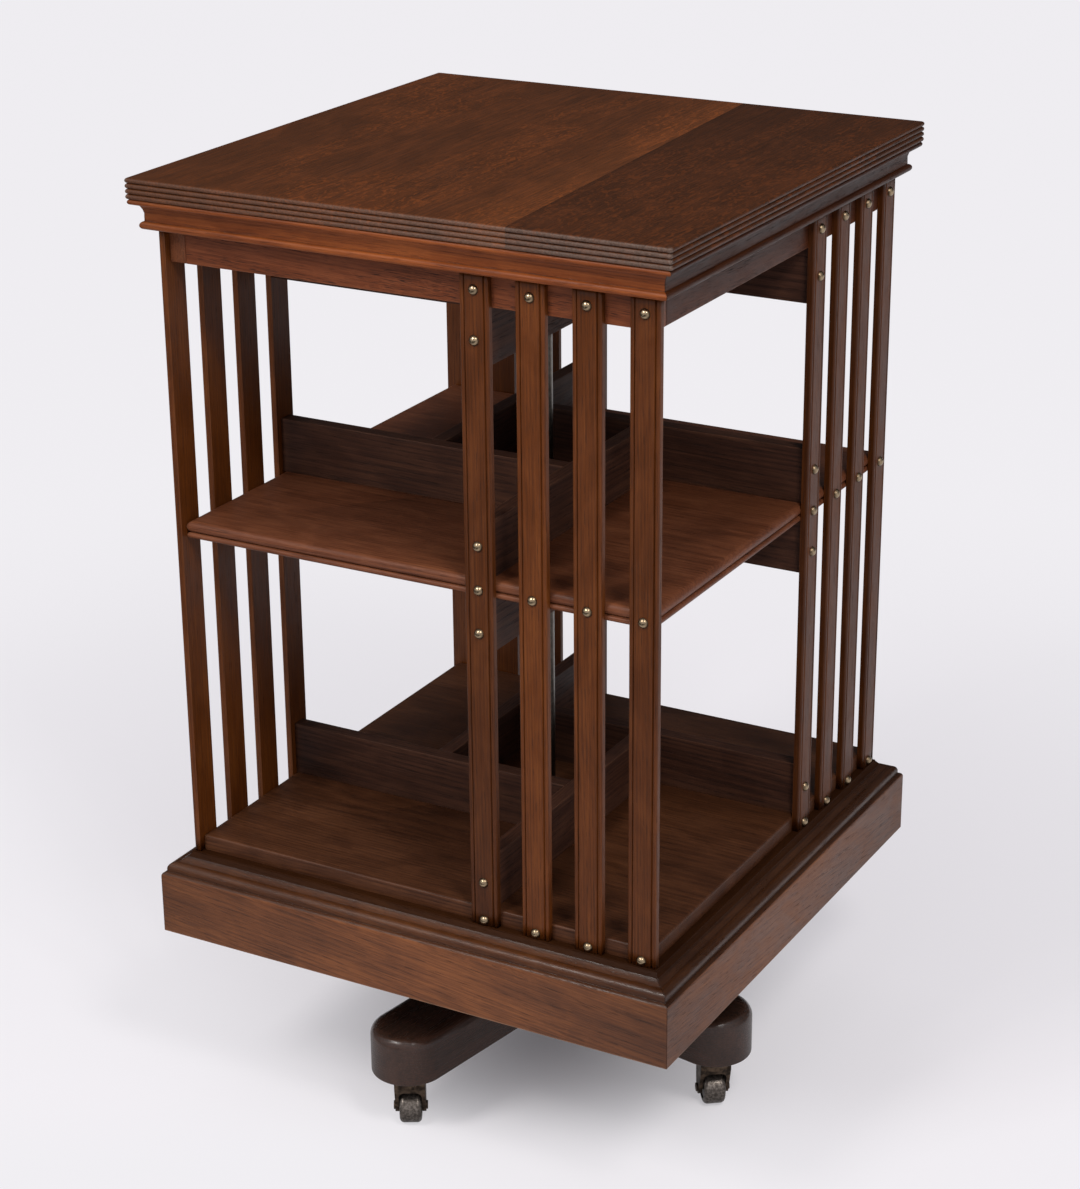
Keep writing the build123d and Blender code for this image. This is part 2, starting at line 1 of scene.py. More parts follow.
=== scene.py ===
"""Revolving bookcase: a square oak case with open bays on all four sides, which turns on an iron
spindle above a cross of two arms on casters. Metres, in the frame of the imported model: the floor
is z = 0, the front face looks along -Y and the other faces follow by quarter turns about Z."""
import math

import bpy
import numpy as np
from mathutils import Matrix, Vector


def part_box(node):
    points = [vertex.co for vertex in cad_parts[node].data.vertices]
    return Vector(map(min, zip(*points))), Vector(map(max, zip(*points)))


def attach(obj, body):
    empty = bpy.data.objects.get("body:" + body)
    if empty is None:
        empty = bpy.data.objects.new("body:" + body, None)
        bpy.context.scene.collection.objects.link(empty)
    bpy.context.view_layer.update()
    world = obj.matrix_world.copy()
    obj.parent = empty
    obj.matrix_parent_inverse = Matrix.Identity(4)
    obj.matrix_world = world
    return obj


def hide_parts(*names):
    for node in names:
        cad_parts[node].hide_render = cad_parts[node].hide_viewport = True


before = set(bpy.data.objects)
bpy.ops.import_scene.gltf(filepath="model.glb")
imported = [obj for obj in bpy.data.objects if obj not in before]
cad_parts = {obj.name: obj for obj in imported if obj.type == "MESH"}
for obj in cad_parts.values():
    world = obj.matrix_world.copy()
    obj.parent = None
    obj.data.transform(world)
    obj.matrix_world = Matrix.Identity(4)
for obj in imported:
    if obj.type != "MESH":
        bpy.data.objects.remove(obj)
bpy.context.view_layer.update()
MM = 0.001

# Camera: at chest height to the right of the front face, looking down on the top, with the
# long lens that the photograph's nearly parallel uprights ask for.
PHOTO_HEIGHT = 1189
FOCAL_PIXELS = 2778.9
CAMERA_PLACE = Vector((1.1355, -2.0385, 1.3795))
camera_yaw, camera_pitch, camera_roll = (math.radians(a) for a in (29.19, 21.59, -0.51))
forward = Vector((
    -math.sin(camera_yaw) * math.cos(camera_pitch),
    math.cos(camera_yaw) * math.cos(camera_pitch),
    -math.sin(camera_pitch),
))
level_right = Vector((math.cos(camera_yaw), math.sin(camera_yaw), 0))
level_up = level_right.cross(forward)
right = math.cos(camera_roll) * level_right + math.sin(camera_roll) * level_up
up = right.cross(forward)
camera_data = bpy.data.cameras.new("camera")
camera_data.sensor_width = 36
camera_data.lens = FOCAL_PIXELS / PHOTO_HEIGHT * camera_data.sensor_width
camera = bpy.data.objects.new("camera", camera_data)
camera.matrix_world = Matrix.Translation(CAMERA_PLACE) @ Matrix((
    (right.x, up.x, -forward.x, 0),
    (right.y, up.y, -forward.y, 0),
    (right.z, up.z, -forward.z, 0),
    (0, 0, 0, 1),
))
bpy.context.scene.collection.objects.link(camera)
bpy.context.scene.camera = camera
bpy.context.scene.view_settings.view_transform = "Standard"


# Studio: a plain pale floor that runs on past the picture, a pale room, and two soft lamps high in
# front, one to the left of the front face and one to the right of the camera. Polished faces
# reflect the pale floor and room, but not past a pace in front of the object or low behind it.
def srgb(red, green, blue):
    """linear colour of a screen colour given from 0 to 255: the value to the power of 2.2"""
    return tuple((c / 255) ** 2.2 for c in (red, green, blue)) + (1.0,)


def wire(tree, kind, inputs=(), **settings):
    """adds a node, sets its properties, and feeds its inputs with values or other nodes' outputs"""
    made = tree.nodes.new(kind)
    for key, value in settings.items():
        setattr(made, key, value)
    for key, value in dict(inputs).items():
        if isinstance(value, bpy.types.NodeSocket):
            tree.links.new(value, made.inputs[key])
        else:
            made.inputs[key].default_value = value
    return made


# The camera sees the floor turn from a lit surface, with the object's shadow on it, into an even
# backdrop with the distance. Reflections see it as a glow that ends a pace away to the front left,
# dimmed under the object as a painted shadow.
FLOOR_COLOUR = srgb(244, 242, 248)
BACKDROP_COLOUR = srgb(240, 238, 242)
FLOOR_HALF = 14.0
floor_mesh = bpy.data.meshes.new("floor")
floor_mesh.from_pydata(
    [(-FLOOR_HALF, -FLOOR_HALF, 0), (FLOOR_HALF, -FLOOR_HALF, 0),
     (FLOOR_HALF, FLOOR_HALF, 0), (-FLOOR_HALF, FLOOR_HALF, 0)],
    [], [(0, 1, 2, 3)],
)
floor = bpy.data.objects.new("floor", floor_mesh)
bpy.context.scene.collection.objects.link(floor)
floor_paint = bpy.data.materials.new("floor_paint")
floor_paint.use_nodes = True
floor_tree = floor_paint.node_tree
floor_shader = floor_tree.nodes["Principled BSDF"]
floor_shader.inputs["Base Color"].default_value = FLOOR_COLOUR
floor_shader.inputs["Roughness"].default_value = 0.7
floor_shader.inputs["Specular IOR Level"].default_value = 0.2
floor_place = wire(floor_tree, "ShaderNodeTexCoord").outputs["Object"]
floor_radius = wire(floor_tree, "ShaderNodeVectorMath", {
    0: floor_place,
}, operation="LENGTH").outputs["Value"]


def floor_distance(direction):
    """how far a place of the floor lies along a direction: the dot product of the two"""
    return wire(floor_tree, "ShaderNodeVectorMath", {
        0: floor_place, 1: direction,
    }, operation="DOT_PRODUCT").outputs["Value"]


def floor_share(distance, near, far, first, last):
    """a smooth share of the floor's glow, from first to last between two distances"""
    return wire(floor_tree, "ShaderNodeMapRange", {
        "Value": distance, "From Min": near, "From Max": far, "To Min": first, "To Max": last,
    }, interpolation_type="SMOOTHSTEP").outputs[0]


def floor_sum(first, second, operation="ADD"):
    """two shares of the floor's glow, added or multiplied"""
    return wire(floor_tree, "ShaderNodeMath", {0: first, 1: second}, operation=operation).outputs[0]


to_back_right = floor_distance((0.45, 0.81, 0.0))
to_back_left = floor_distance((-0.49, 0.87, 0.0))
floor_even = floor_sum(
    floor_sum(floor_share(floor_radius, 0.0, 0.22, 0.05, 0.41),
              floor_share(floor_radius, 0.4, 1.7, 0.0, 0.55)),
    floor_sum(floor_share(to_back_right, -0.3, -0.08, 0.26, 0.0),
              floor_share(to_back_left, -0.24, -0.07, 0.3, 0.0)),
)
# Reflections see the glow dimmed under the object: a painted shadow.
floor_end = floor_sum(
    floor_share(to_back_right, -1.0, -0.35, 0.12, 0.95),
    floor_share(floor_radius, 0.1, 0.5, 0.3, 1.0), "MULTIPLY",
)
floor_rays = wire(floor_tree, "ShaderNodeLightPath")
floor_shine = wire(floor_tree, "ShaderNodeMath", {
    0: floor_rays.outputs["Is Glossy Ray"], 1: floor_rays.outputs["Is Transmission Ray"],
}, operation="MAXIMUM")
floor_seen = wire(floor_tree, "ShaderNodeMath", {
    0: floor_rays.outputs["Is Camera Ray"], 1: floor_even, 2: floor_shine.outputs[0],
}, operation="MULTIPLY_ADD", use_clamp=True)
floor_level = wire(floor_tree, "ShaderNodeMix", {
    0: floor_rays.outputs["Is Camera Ray"], 2: floor_end, 3: 1.0,
}, data_type="FLOAT")
floor_glow = wire(floor_tree, "ShaderNodeEmission", {
    "Color": BACKDROP_COLOUR, "Strength": floor_level.outputs[0],
})
floor_mix = wire(floor_tree, "ShaderNodeMixShader", {
    0: floor_seen.outputs[0], 1: floor_shader.outputs[0], 2: floor_glow.outputs[0],
})
floor_tree.links.new(floor_mix.outputs[0], floor_tree.nodes["Material Output"].inputs["Surface"])
floor_mesh.materials.append(floor_paint)

ROOM_LIGHT = 0.62
PALE_SIDE = (0.25, -0.85, 0.45)
room = bpy.data.worlds.new("room")
room.use_nodes = True
bpy.context.scene.world = room
room_tree = room.node_tree
room_place = wire(room_tree, "ShaderNodeTexCoord")
room_side = wire(room_tree, "ShaderNodeVectorMath", {
    0: room_place.outputs["Generated"], 1: PALE_SIDE,
}, operation="DOT_PRODUCT")
room_reflected = wire(room_tree, "ShaderNodeMapRange", {
    "Value": room_side.outputs["Value"], "From Min": -0.55, "From Max": 0.8,
    "To Min": 0.05, "To Max": 1.0,
}, interpolation_type="SMOOTHSTEP")
room_rays = wire(room_tree, "ShaderNodeLightPath")
room_shine = wire(room_tree, "ShaderNodeMath", {
    0: room_rays.outputs["Is Glossy Ray"], 1: room_rays.outputs["Is Transmission Ray"],
}, operation="MAXIMUM")
room_level = wire(room_tree, "ShaderNodeMix", {
    0: room_shine.outputs[0], 2: ROOM_LIGHT, 3: room_reflected.outputs[0],
}, data_type="FLOAT")
room_seen = wire(room_tree, "ShaderNodeMix", {
    0: room_rays.outputs["Is Camera Ray"], 2: room_level.outputs[0], 3: 1.0,
}, data_type="FLOAT")
room_shader = room_tree.nodes["Background"]
room_shader.inputs["Color"].default_value = BACKDROP_COLOUR
room_tree.links.new(room_seen.outputs[0], room_shader.inputs["Strength"])

LAMP_AIM = Vector((0, 0, 0.45))
LAMP_COLOUR = (1.0, 0.97, 0.93)
for lamp_name, azimuth, elevation, distance, side, watts in (
    ("left_softbox", -20, 44, 3.2, 0.8, 44),
    ("right_softbox", 52, 46, 3.2, 0.7, 44),
):
    turn, lift = math.radians(azimuth), math.radians(elevation)
    towards = Vector((
        math.sin(turn) * math.cos(lift), -math.cos(turn) * math.cos(lift), math.sin(lift),
    ))
    lamp_data = bpy.data.lights.new(lamp_name, "AREA")
    lamp_data.shape = "SQUARE"
    lamp_data.size = side
    lamp_data.energy = watts
    lamp_data.color = LAMP_COLOUR
    lamp = bpy.data.objects.new(lamp_name, lamp_data)
    lamp.location = LAMP_AIM + towards * distance
    lamp.rotation_mode = "QUATERNION"
    lamp.rotation_quaternion = towards.to_track_quat("Z", "Y")
    bpy.context.scene.collection.objects.link(lamp)


# Top: two wide oak boards with ray flecks, glued edge to edge and running from front to back, the
# right one much darker. Four reeds are planed round its edge, worn and dulled by handling, and
# their crowns carry painted sheen along the front and painted shade on the other sides.
def arc(centre, radius, start, end, count):
    """points of a circle's arc: the centre plus the radius times cosine and sine of even angles"""
    angle = np.radians(np.linspace(start, end, count))
    return np.column_stack((
        centre[0] + radius * np.cos(angle), centre[1] + radius * np.sin(angle),
    ))


SHARP_TURN = 0.3
WIDEST_TURN = 2.4
CUT_LIMIT = 0.42
REACH_LIMIT = 0.49
LONG_TO_NEIGHBOUR = 3
LONG_TO_REACH = 4


def soften(profile, radius, reach, worn=1.0):
    """rounds each sharp corner of a closed profile with a Bezier curve between the points that
    lie radius * tan(half the turn) before and after it, and gives every point a value for worn
    wood and painted light: positive on arrises, for lighter worn wood and painted highlight,
    negative in hollows, for dark wax and painted shade, 0 beyond reach. A flat that is long to its
    neighbour and to the reach gets a point near each end, so that its shading stays flat. The
    turns above are in radians, and the limits are shares of the line beside the corner."""
    before = profile - np.roll(profile, 1, axis=0)
    after = np.roll(profile, -1, axis=0) - profile
    before_length = np.linalg.norm(before, axis=1)[:, None]
    after_length = np.linalg.norm(after, axis=1)[:, None]
    before = before / before_length
    after = after / after_length
    turn = np.arctan2(
        before[:, 0] * after[:, 1] - before[:, 1] * after[:, 0], (before * after).sum(axis=1),
    )[:, None]
    area = np.cross(profile, np.roll(profile, -1, axis=0)).sum()
    turn_out = turn * np.sign(area)
    cut = radius * np.tan(np.minimum(np.abs(turn), WIDEST_TURN) / 2)
    cut_before = np.minimum(cut, CUT_LIMIT * before_length)
    cut_after = np.minimum(cut, CUT_LIMIT * after_length)
    first = profile - before * cut_before
    last = profile + after * cut_after
    share = np.array((0.0, 0.25, 0.5, 0.75, 1.0))[None, :, None]
    bend = (
        (1 - share) ** 2 * first[:, None] + 2 * share * (1 - share) * profile[:, None]
        + share ** 2 * last[:, None]
    )
    reach_before = np.minimum(cut_before + reach, REACH_LIMIT * before_length)
    reach_after = np.minimum(cut_after + reach, REACH_LIMIT * after_length)
    support_before = profile - before * reach_before
    support_after = profile + after * reach_after
    points = np.concatenate((support_before[:, None], bend, support_after[:, None]), axis=1)
    sharp = np.abs(turn[:, 0]) > SHARP_TURN
    strength = np.clip(turn_out / (math.pi / 2), -1.0, 1.0) * worn
    fade = np.array((0.0, 0.6, 0.9, 1.0, 0.9, 0.6, 0.0))[None, :]
    wear_and_painted_light = strength * fade * sharp[:, None]
    long_before = np.maximum(LONG_TO_NEIGHBOUR * after_length, LONG_TO_REACH * reach)
    long_after = np.maximum(LONG_TO_NEIGHBOUR * before_length, LONG_TO_REACH * reach)
    middle = points.shape[1] // 2
    keep = np.repeat(sharp[:, None], points.shape[1], axis=1)
    keep[:, middle] = True
    keep[:, 0] |= (before_length > long_before)[:, 0]
    keep[:, -1] |= (after_length > long_after)[:, 0]
    points[~sharp, middle] = profile[~sharp]
    return points[keep], wear_and_painted_light[keep]


CORNER_WEAR = 0.35
CORNER_WEAR_REACHES = 4
CORNER_POINTS = 7


def square_rings(profile, wear_and_painted_light, corner, reach):
    """carries a profile of distances and heights round a square: every ring has half the side
    that the profile's distance gives, with corners rounded to the given radius, and worn a little
    near the edge"""
    swing = np.radians(np.linspace(0, 90, CORNER_POINTS))
    dent = np.concatenate((
        [(0, -corner - reach)],
        np.column_stack((corner * np.cos(swing) - corner, corner * np.sin(swing) - corner)),
        [(-corner - reach, 0)],
    ))
    corner_wear = np.concatenate(([0], np.full(CORNER_POINTS, CORNER_WEAR), [0]))
    first = profile[:, None, :1] + dent[None]
    rings = []
    for quarter in range(4):
        turn = math.radians(90 * quarter)
        spin = np.array(((math.cos(turn), math.sin(turn)), (-math.sin(turn), math.cos(turn))))
        rings.append(first @ spin)
    plan = np.concatenate(rings, axis=1)
    heights = np.broadcast_to(profile[:, None, 1:], plan.shape[:2] + (1,))
    inward = profile[:, 0].max() - profile[:, 0]
    edge = np.clip(1 - inward / (CORNER_WEAR_REACHES * reach), 0, 1)
    ring_wear_and_painted_light = wear_and_painted_light[:, None] + edge[:, None] * np.tile(corner_wear, 4)[None]
    return np.concatenate((plan, heights), axis=2), ring_wear_and_painted_light


draw = np.random.default_rng(11)


def build_shell(name, rows, wear_and_painted_light, board, tone, caps=True):
    """a closed skin over rings of points: each ring is joined to the next by quads, and the first
    and last are capped. Each point keeps its value for worn wood and painted light, its tone, which
    may change from ring to ring and on some pieces holds painted shade, and its place in its
    board's own axes: along the grain, across, and in from the tree's heart. board gives the
    directions along and across the grain, the two distances from the heart to the piece's centre,
    and the drift across for each metre along."""
    count, around = rows.shape[:2]
    index = np.arange(count * around).reshape(count, around)
    following = np.roll(index, -1, axis=1)
    quads = np.stack((index[:-1], following[:-1], following[1:], index[1:]), axis=2)
    quads = quads.reshape(-1, 4)
    points = rows.reshape(-1, 3)
    centre = points.mean(axis=0)
    a, b, c, d = (points[quads[:, k]] - centre for k in range(4))
    volume = (np.cross(a, b) * c).sum() + (np.cross(a, c) * d).sum()
    faces = quads if volume > 0 else quads[:, ::-1]
    faces = faces.tolist()
    if caps:
        ends = [index[0][::-1].tolist(), index[-1].tolist()]
        faces += ends if volume > 0 else [end[::-1] for end in ends]
    mesh = bpy.data.meshes.new(name)
    mesh.from_pydata(points.tolist(), [], faces)
    mesh.shade_smooth()
    grain, across, heart, drift = board
    grain = np.array(grain, float)
    across = np.array(across, float)
    axes = np.stack((grain, across, np.cross(grain, across)))
    own = (points - centre) @ axes.T
    own[:, 1] += drift * own[:, 0]
    own += (draw.uniform(-3, 3), heart[0], heart[1])
    wood = mesh.attributes.new("wood", "FLOAT_VECTOR", "POINT")
    wood.data.foreach_set("vector", own.astype(np.float32).ravel())
    worn = mesh.attributes.new("wear_and_painted_light", "FLOAT", "POINT")
    worn.data.foreach_set("value", np.asarray(wear_and_painted_light, np.float32).ravel())
    toned = mesh.attributes.new("tone", "FLOAT", "POINT")
    tones = np.broadcast_to(np.reshape(tone, (-1, 1)), (count, around))
    toned.data.foreach_set("value", tones.astype(np.float32).ravel())
    piece = bpy.data.objects.new(name, mesh)
    bpy.context.scene.collection.objects.link(piece)
    return piece


RINGS_PER_METRE = 400.0
JOINT_LEAN = 0.068
JOINT_LINE = 0.9 * MM
BAND_WIDTH = 70 * MM
BAND_FULL = 10 * MM
BAND_LIGHTER = 0.38
SECOND_BOARD_DARKER = 0.75


def oak_finish(name, dark, middle, light, worn, flecks=0.0, figure=0.5, mottle=1.0, grit=0.45,
               gloss=0.42, ior=1.3, turn=None, joint=None):
    """stained and polished oak, as a solid pattern in the board's own axes: growth rings about
    the tree's heart, open pores and fibre along the grain, ray flecks, broad patches of colour,
    arrises lighter as worn wood and painted highlight, and hollows dark with wax and painted
    shade. figure is the strength of the rings, mottle that of the patches, grit that of the
    pores, and gloss the roughness of a bare face. turn is for a CAD piece, the angle of its grain
    from X. joint is the x where one board ends, with a lighter band, and the next, darker one
    begins, at y = 0; it leans, because the boards taper."""
    material = bpy.data.materials.new(name)
    material.use_nodes = True
    tree = material.node_tree
    if turn is None:
        place = wire(tree, "ShaderNodeAttribute", attribute_name="wood").outputs["Vector"]
    else:
        place = wire(tree, "ShaderNodeVectorRotate", {
            "Vector": wire(tree, "ShaderNodeTexCoord").outputs["Object"],
            "Angle": math.radians(-turn),
        }, rotation_type="Z_AXIS").outputs[0]

    def math_node(operation, first, second=0.5, third=0.0):
        return wire(tree, "ShaderNodeMath", {0: first, 1: second, 2: third},
                    operation=operation).outputs[0]

    def ranged(value, low, high, to_low=0.0, to_high=1.0):
        return wire(tree, "ShaderNodeMapRange", {
            "Value": value, "From Min": low, "From Max": high, "To Min": to_low, "To Max": to_high,
        }, interpolation_type="SMOOTHSTEP").outputs[0]

    def mixed(factor, first, second):
        return wire(tree, "ShaderNodeMix", {
            0: factor, 6: first, 7: second,
        }, data_type="RGBA").outputs[2]

    if joint is not None:
        spot = wire(tree, "ShaderNodeVectorMath", {
            0: wire(tree, "ShaderNodeTexCoord").outputs["Object"], 1: (1.0, JOINT_LEAN, 0.0),
        }, operation="DOT_PRODUCT").outputs["Value"]
        second_board = math_node("GREATER_THAN", spot, joint)
        place = wire(tree, "ShaderNodeVectorMath", {
            0: second_board, 1: (0.7, 0.11, 0.03), 2: place,
        }, operation="MULTIPLY_ADD").outputs[0]

    def stretched(along, across, offset=0.0):
        """the place counted in waves, so many to a metre along the grain and across it"""
        return wire(tree, "ShaderNodeVectorMath", {
            0: place, 1: (along, across, across), 2: (offset, offset, offset),
        }, operation="MULTIPLY_ADD").outputs[0]

    def noise(vector, detail, roughness=0.5, distortion=0.0):
        return wire(tree, "ShaderNodeTexNoise", {
            "Vector": vector, "Scale": 1.0, "Detail": detail, "Roughness": roughness,
            "Distortion": distortion,
        })

    waver = noise(stretched(3.0, 16.0), 2.0).outputs["Color"]
    bent = wire(tree, "ShaderNodeVectorMath", {
        0: waver, 1: (0.0, 0.012, 0.012), 2: place,
    }, operation="MULTIPLY_ADD").outputs[0]
    flat = wire(tree, "ShaderNodeVectorMath", {0: bent, 1: (0.0, 1.0, 1.0)}, operation="MULTIPLY")
    radius = wire(tree, "ShaderNodeVectorMath", {0: flat.outputs[0]}, operation="LENGTH")
    years = math_node("MULTIPLY", radius.outputs["Value"], RINGS_PER_METRE)
    season = math_node("FRACT", years)
    ring = math_node("MULTIPLY", ranged(season, 0.0, 0.6), ranged(season, 1.0, 0.8))
    fibre = noise(stretched(15.0, 640.0), 3.0, 0.62).outputs["Fac"]
    streak = noise(stretched(6.0, 150.0, 2.0), 3.0, 0.6, 0.4).outputs["Fac"]
    pores = ranged(noise(stretched(70.0, 1500.0, 7.0), 1.0).outputs["Fac"], 0.54, 0.66)
    pore = math_node("MULTIPLY", pores, ranged(ring, 0.6, 0.0, 0.35, 1.0))
    patch = noise(stretched(3.5, 11.0, 3.0), 3.0, 0.55, 0.6).outputs["Fac"]
    cloud = noise(stretched(16.0, 34.0, 11.0), 3.0, 0.6, 0.8).outputs["Fac"]

    level = 0.12 + 0.25 * (1 - mottle)
    shade = math_node("MULTIPLY_ADD", ranged(patch, 0.25, 0.75), 0.2 * mottle, level)
    shade = math_node("MULTIPLY_ADD", ring, 0.3 * figure, shade)
    shade = math_node("MULTIPLY_ADD", ranged(fibre, 0.3, 0.7), 0.28, shade)
    shade = math_node("MULTIPLY_ADD", ranged(streak, 0.3, 0.7), 0.1 * mottle, shade)
    shade = math_node("MULTIPLY_ADD", ranged(cloud, 0.35, 0.7), 0.2 * mottle, shade)
    ramp = wire(tree, "ShaderNodeValToRGB", {"Fac": shade})
    ramp.color_ramp.elements[0].position = 0.12
    ramp.color_ramp.elements[0].color = dark
    ramp.color_ramp.elements[1].position = 0.95
    ramp.color_ramp.elements[1].color = light
    ramp.color_ramp.elements.new(0.5).color = middle
    colour = ramp.outputs["Color"]
    if flecks:
        ray = noise(stretched(60.0, 150.0, 5.0), 2.0, 0.5, 2.2).outputs["Fac"]
        ray = math_node("MULTIPLY", ranged(ray, 0.51, 0.64), ranged(patch, 0.4, 0.62))
        colour = mixed(math_node("MULTIPLY", ray, flecks), colour, light)
    # The colour of dark wax in pores, joints and hollows; in the hollows it is also painted shade.
    wax_and_shade_colour = tuple(0.3 * c for c in dark[:3]) + (1.0,)
    colour = mixed(math_node("MULTIPLY", pore, grit), colour, wax_and_shade_colour)
    if turn is None:
        tone = wire(tree, "ShaderNodeAttribute", attribute_name="tone").outputs["Fac"]
        if joint is not None:
            band = ranged(spot, joint - BAND_WIDTH, joint - BAND_FULL)
            lighter = math_node("MULTIPLY", band, BAND_LIGHTER)
            darker = math_node("MULTIPLY", second_board, SECOND_BOARD_DARKER)
            tone = math_node("MULTIPLY_ADD", tone, math_node("SUBTRACT", lighter, darker), tone)
            away = math_node("ABSOLUTE", math_node("SUBTRACT", spot, joint))
            gap = ranged(away, JOINT_LINE, JOINT_LINE / 3)
            colour = mixed(math_node("MULTIPLY", gap, 0.6), colour, wax_and_shade_colour)
        colour = wire(tree, "ShaderNodeHueSaturation", {"Value": tone, "Color": colour}).outputs[0]
        wear_and_painted_light = wire(tree, "ShaderNodeAttribute", attribute_name="wear_and_painted_light").outputs["Fac"]
        # Arrises go towards the worn colour and hollows towards the dark wax colour: worn wood and
        # wax, and also painted highlight and painted shade.
        rubbed_and_highlit = math_node("MULTIPLY", ranged(wear_and_painted_light, 0.05, 0.9), ranged(fibre, 0.25, 0.65, 0.4, 1.0))
        colour = mixed(math_node("MULTIPLY", rubbed_and_highlit, 0.6), colour, worn)
        waxed_and_shaded = ranged(wear_and_painted_light, -0.05, -0.8)
        colour = mixed(math_node("MULTIPLY", waxed_and_shaded, 0.7), colour, wax_and_shade_colour)
        # The deepest hollows, on the plinth's upper slope, go nearly black: dark wax and painted
        # shade.
        colour = mixed(math_node("MULTIPLY", ranged(wear_and_painted_light, -0.9, -1.6), 0.6), colour, wax_and_shade_colour)

    shader = tree.nodes["Principled BSDF"]
    tree.links.new(colour, shader.inputs["Base Color"])
    dull = math_node("MULTIPLY_ADD", pore, 0.2, gloss)
    dull = math_node("MULTIPLY_ADD", ranged(cloud, 0.3, 0.7), 0.1, dull)
    if turn is None:
        dull = math_node("MULTIPLY_ADD", waxed_and_shaded, -0.16, dull)
    tree.links.new(dull, shader.inputs["Roughness"])
    shader.inputs["IOR"].default_value = ior
    relief = math_node("MULTIPLY_ADD", pore, -1.0, fibre)
    bump = wire(tree, "ShaderNodeBump", {
        "Strength": 0.35, "Distance": 0.0003, "Height": relief,
    })
    tree.links.new(bump.outputs["Normal"], shader.inputs["Normal"])
    return material


def dress(piece, material, slot, body, *nodes):
    """gives a piece its finish and puts it on its body in its nodes' place; slot is not used"""
    piece.data.materials.append(material)
    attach(piece, body)
    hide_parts(*nodes)
    return piece


top_low, top_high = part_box("top_board")
top_half = top_high.x
REEDS = 4
TOP_STRIP = 30 * MM
reed = (top_high.z - top_low.z) / (2 * REEDS)
reed_arcs = [
    arc((top_half - reed, top_low.z + reed * (2 * n + 1)), reed, -80 if n else -90,
        80 if n < REEDS - 1 else 90, 12)
    for n in range(REEDS)
]
flat_edge = top_half - TOP_STRIP
profile = np.concatenate(([(flat_edge, top_low.z)], *reed_arcs, [(flat_edge, top_high.z)]))
profile, wear_and_painted_light = soften(profile, radius=0.2 * MM, reach=0.5 * MM, worn=0.8)


INNER_END = 1 * MM


def opened(profile, wear_and_painted_light):
    """a softened profile without the two corners at its inner end, from its foot to its head"""
    inner = profile[:, 0] < profile[:, 0].min() + INNER_END
    first = int(np.flatnonzero(inner & ~np.roll(inner, -1))[0])
    profile, wear_and_painted_light, inner = (np.roll(a, -first, axis=0) for a in (profile, wear_and_painted_light, inner))
    outer = ~inner
    outer[0] = True
    outer[np.flatnonzero(inner)[1]] = True
    wear_and_painted_light = np.where(inner, 0, wear_and_painted_light)
    return profile[outer], wear_and_painted_light[outer]


REED_CROWN = 0.7 * reed
FRONT_EDGE = 3 * MM
# The reeds' crowns are paler along the front, more so to the right, from rubbing and painted sheen;
# on the other sides only a little, which is painted shade.
FRONT_RUBBED_AND_SHEEN = 0.54
FRONT_RUBBED_AND_SHEEN_RISE = 0.85
SIDE_RUBBED_IN_SHADE = 0.2
profile, wear_and_painted_light = opened(profile, wear_and_painted_light)
crown = np.clip(1 - (top_half - profile[:, 0]) / REED_CROWN, 0, 1)
rows, wear_and_painted_light = square_rings(profile, wear_and_painted_light, corner=1.2 * MM, reach=2.0 * MM)
front_edge = rows[..., 1] < FRONT_EDGE - top_half
front_rubbed_and_sheen = FRONT_RUBBED_AND_SHEEN + FRONT_RUBBED_AND_SHEEN_RISE * rows[..., 0]
wear_and_painted_light = wear_and_painted_light + crown[:, None] * np.where(front_edge, front_rubbed_and_sheen, SIDE_RUBBED_IN_SHADE)
top = build_shell("top", rows, wear_and_painted_light, ((0, 1, 0), (1, 0, 0), (0.02, 0.12), 0.02), 1.0)
TOP_JOINT = 92 * MM
oak_top = oak_finish(
    "oak_top", srgb(54, 33, 19), srgb(73, 42, 22), srgb(104, 56, 25), srgb(110, 98, 90),
    flecks=0.9, figure=0.22, mottle=0.6, gloss=0.4, joint=TOP_JOINT,
)
dress(top, oak_top, "oak", "case", "top_board")


# Cornice: four lengths of moulding under the top, mitred at the corners and glued to the frieze.
# From the top down it is a small bead, a cove with a flat below it and a larger bead. The front
# length is the reddest wood here.
SIDES = ("front", "right", "back", "left")


def facing(side):
    """unit vectors of a face seen from outside: to its right and outwards"""
    turn = math.radians(90 * SIDES.index(side))
    across = np.array((math.cos(turn), math.sin(turn), 0))
    outward = np.array((math.sin(turn), -math.cos(turn), 0))
    return across, outward


def straight_rows(profile, wear_and_painted_light, stations, along, first, second, origin=(0, 0, 0)):
    """carries a closed profile along a straight line: a station (share, offset, inset, worn) puts
    a ring at share times the profile's own first distance plus offset, drawn in by inset along
    the profile's normals, with that much added to its value for worn wood and painted light"""
    tangent = np.roll(profile, -1, axis=0) - np.roll(profile, 1, axis=0)
    area = np.cross(profile, np.roll(profile, -1, axis=0)).sum()
    normal = np.column_stack((tangent[:, 1], -tangent[:, 0])) * np.sign(area)
    normal /= np.linalg.norm(normal, axis=1)[:, None] + 1e-9
    stations = np.asarray(stations, float)
    section = profile[None] - normal[None] * stations[:, 2, None, None]
    distance = stations[:, :1] * section[..., 0] + stations[:, 1, None]
    rows = (
        distance[..., None] * np.asarray(along, float) + section[..., :1] * np.asarray(first, float)
        + section[..., 1:] * np.asarray(second, float) + np.asarray(origin, float)
    )
    return rows, wear_and_painted_light[None] + stations[:, 3:]


